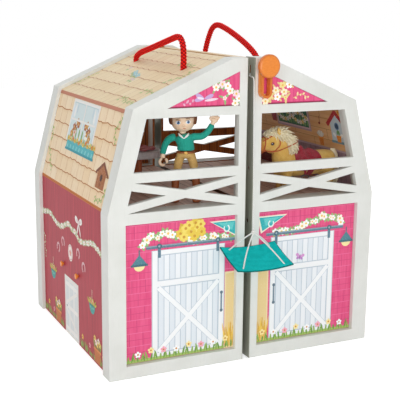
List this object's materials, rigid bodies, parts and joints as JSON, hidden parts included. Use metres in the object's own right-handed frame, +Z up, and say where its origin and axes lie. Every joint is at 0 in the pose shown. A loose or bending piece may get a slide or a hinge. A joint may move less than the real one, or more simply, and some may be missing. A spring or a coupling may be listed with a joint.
{
  "type": "toy barn",
  "caption": "Opening toy barn in two hinged halves with windowed lofts, fence fronts, rope handles, a cord hoist with a felt sling, a doll and a pony.",
  "frame": {"origin": "middle of the whole part's footprint, on the ground, between the two halves", "axes": "+X to the right as seen from the front, +Y from the front towards the hinges, +Z up"},
  "size_m": [0.3134, 0.3174, 0.356],
  "materials": {
    "frame_paint": "satin warm grey paint on board",
    "printed_board": "satin pink printed board",
    "roof_print": "satin printed shingles on board",
    "floor_print": "satin mauve printed board",
    "orange_wood": "satin orange lacquer",
    "hinge_steel": "satin",
    "magnet": "dull",
    "red_rope": "braided cord",
    "white_cord": "twisted thread",
    "teal_felt": "matt felt",
    "doll_wood": "satin painted wood",
    "doll_hair": "matt paint",
    "doll_jersey": "felt",
    "doll_cloth": "felt",
    "boot_wood": "satin paint",
    "pony_coat": "short flock",
    "pony_hair": "soft plush",
    "saddle_cloth": "felt",
    "table_wood": "satin paint"
  },
  "bodies": {
    "left_half": {"left_front_frame": "frame_paint", "left_front_panel": "printed_board", "left_front_gable": "printed_board", "left_front_rope_knot": "red_rope", "left_back_frame": "frame_paint", "left_back_panel": "printed_board", "left_back_gable": "printed_board", "left_back_rope_knot": "red_rope", "left_wall": "printed_board", "left_steep_roof": "roof_print", "left_upper_roof": "roof_print", "left_ground_floor": "floor_print", "left_loft_floor": "floor_print", "left_rope_handle": "red_rope", "left_lower_hinge_leaf": "hinge_steel", "left_lower_magnet": "magnet", "left_upper_hinge_leaf": "hinge_steel", "left_upper_magnet": "magnet", "front_wall_peg": "orange_wood", "back_wall_peg": "orange_wood", "lower_hinge_pin": "hinge_steel", "upper_hinge_pin": "hinge_steel", "doll_sweater": "doll_jersey", "doll_left_arm": "doll_jersey", "doll_right_arm": "doll_jersey", "doll_trousers": "doll_cloth", "doll_left_boot": "boot_wood", "doll_right_boot": "boot_wood", "loft_table": "table_wood"},
    "right_half": {"right_front_frame": "frame_paint", "right_front_panel": "printed_board", "right_front_gable": "printed_board", "right_front_rope_knot": "red_rope", "right_back_frame": "frame_paint", "right_back_panel": "printed_board", "right_back_gable": "printed_board", "right_back_rope_knot": "red_rope", "right_wall": "printed_board", "right_steep_roof": "roof_print", "right_upper_roof": "roof_print", "right_ground_floor": "floor_print", "right_loft_floor": "floor_print", "right_rope_handle": "red_rope", "right_lower_hinge_leaf": "hinge_steel", "right_lower_magnet": "magnet", "right_upper_hinge_leaf": "hinge_steel", "right_upper_magnet": "magnet", "hoist_cord": "white_cord", "pony_body": "pony_coat", "pony_mane": "pony_hair", "pony_tail": "pony_hair", "pony_saddle": "saddle_cloth"},
    "knob": {"hoist_knob": "orange_wood", "hoist_shaft": "orange_wood"},
    "latch": {"latch_loop": "orange_wood"},
    "sling": {"sling": "teal_felt", "sling_cords": "white_cord"},
    "doll_head": {"doll_head": "doll_wood", "doll_hair": "doll_hair"}
  },
  "joints": [
    {"name": "barn_open", "type": "hinge", "parent": "left_half", "child": "right_half", "pos_m": [0, 0.1565, 0], "axis": [0, 0, 1], "range_deg": [0, 180]},
    {"name": "knob_turn", "type": "hinge", "parent": "right_half", "child": "knob", "pos_m": [0.0137, -0.1138, 0.3168], "axis": [0, 1, 0], "range_deg": [-1190, 1545]},
    {"name": "sling_lift", "type": "slide", "parent": "right_half", "child": "sling", "axis": [0, 0, 1], "range_m": [-0.1, 0.13], "deforming": ["hoist_cord"]},
    {"name": "latch_swing", "type": "hinge", "parent": "right_half", "child": "latch", "pos_m": [0.0137, -0.1138, 0.3168], "axis": [0, 1, 0], "range_deg": [-90, 8]},
    {"name": "doll_head_turn", "type": "hinge", "parent": "left_half", "child": "doll_head", "pos_m": [-0.059, -0.0749, 0.2612], "axis": [0, 0, 1], "range_deg": [-60, 60]}
  ],
  "couplings": [
    {"joint": "sling_lift", "follows": "knob_turn", "m_per_rad": 0.0048}
  ]
}
